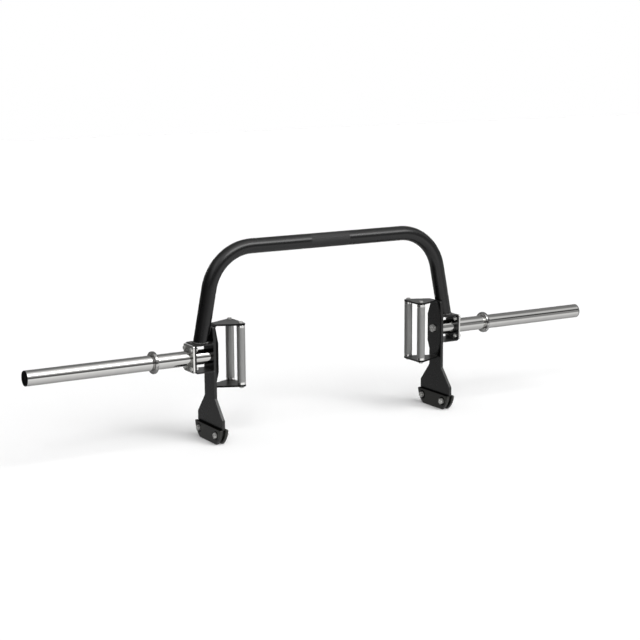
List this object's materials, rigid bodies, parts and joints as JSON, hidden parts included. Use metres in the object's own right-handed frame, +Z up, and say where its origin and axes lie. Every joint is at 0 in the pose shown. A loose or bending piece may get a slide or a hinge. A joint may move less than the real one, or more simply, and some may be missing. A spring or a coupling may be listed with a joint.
{
  "type": "open trap bar",
  "caption": "Open-ended trap bar with an arched crossbar, vertical grips in folded brackets, chromed plate sleeves with collars, and built-in feet that hold it off the floor.",
  "frame": {"origin": "on the floor, below the middle of the bar", "axes": "+X along the bar and its sleeves, +Y from front to back across the bar, +Z up"},
  "size_m": [2.184, 0.185, 0.663],
  "materials": {
    "black_paint": "satin black powder coat, slightly dusty",
    "chrome": "bright chrome plate with faint scuffs",
    "knurled_steel": "knurled, dull chrome plate",
    "zinc_fasteners": "bright zinc plate",
    "foot_plastic": "matt black moulded plastic",
    "plug_plastic": "matt black moulded plastic"
  },
  "bodies": {
    "root": {"arch_tube": "black_paint", "collar_ring_left": "chrome", "collar_ring_right": "chrome", "end_plug_left": "plug_plastic", "end_plug_right": "plug_plastic", "flange_bolt_front_lower_left": "zinc_fasteners", "flange_bolt_front_lower_right": "zinc_fasteners", "flange_bolt_front_upper_left": "zinc_fasteners", "flange_bolt_front_upper_right": "zinc_fasteners", "flange_bolt_rear_lower_left": "zinc_fasteners", "flange_bolt_rear_lower_right": "zinc_fasteners", "flange_bolt_rear_upper_left": "zinc_fasteners", "flange_bolt_rear_upper_right": "zinc_fasteners", "flange_nut_front_lower_left": "zinc_fasteners", "flange_nut_front_lower_right": "zinc_fasteners", "flange_nut_front_upper_left": "zinc_fasteners", "flange_nut_front_upper_right": "zinc_fasteners", "flange_nut_rear_lower_left": "zinc_fasteners", "flange_nut_rear_lower_right": "zinc_fasteners", "flange_nut_rear_upper_left": "zinc_fasteners", "flange_nut_rear_upper_right": "zinc_fasteners", "flange_plate_left": "chrome", "flange_plate_right": "chrome", "foot_bolt_front_left": "zinc_fasteners", "foot_bolt_front_right": "zinc_fasteners", "foot_bolt_rear_left": "zinc_fasteners", "foot_bolt_rear_right": "zinc_fasteners", "foot_nut_front_left": "zinc_fasteners", "foot_nut_front_right": "zinc_fasteners", "foot_nut_rear_left": "zinc_fasteners", "foot_nut_rear_right": "zinc_fasteners", "foot_pad_inner_left": "foot_plastic", "foot_pad_inner_right": "foot_plastic", "foot_pad_outer_left": "foot_plastic", "foot_pad_outer_right": "foot_plastic", "grip_bolt_front_lower_left": "zinc_fasteners", "grip_bolt_front_lower_right": "zinc_fasteners", "grip_bolt_front_upper_left": "zinc_fasteners", "grip_bolt_front_upper_right": "zinc_fasteners", "grip_bolt_rear_lower_left": "zinc_fasteners", "grip_bolt_rear_lower_right": "zinc_fasteners", "grip_bolt_rear_upper_left": "zinc_fasteners", "grip_bolt_rear_upper_right": "zinc_fasteners", "grip_front_left": "knurled_steel", "grip_front_right": "knurled_steel", "grip_rear_left": "knurled_steel", "grip_rear_right": "knurled_steel", "handle_bracket_left": "black_paint", "handle_bracket_right": "black_paint", "shaft_bolt_left": "zinc_fasteners", "shaft_bolt_right": "zinc_fasteners", "sleeve_bracket_left": "black_paint", "sleeve_bracket_right": "black_paint", "sleeve_core_left": "zinc_fasteners", "sleeve_core_right": "zinc_fasteners", "sleeve_tube_left": "chrome", "sleeve_tube_right": "chrome", "upright_plate_left": "black_paint", "upright_plate_right": "black_paint"}
  },
  "joints": []
}
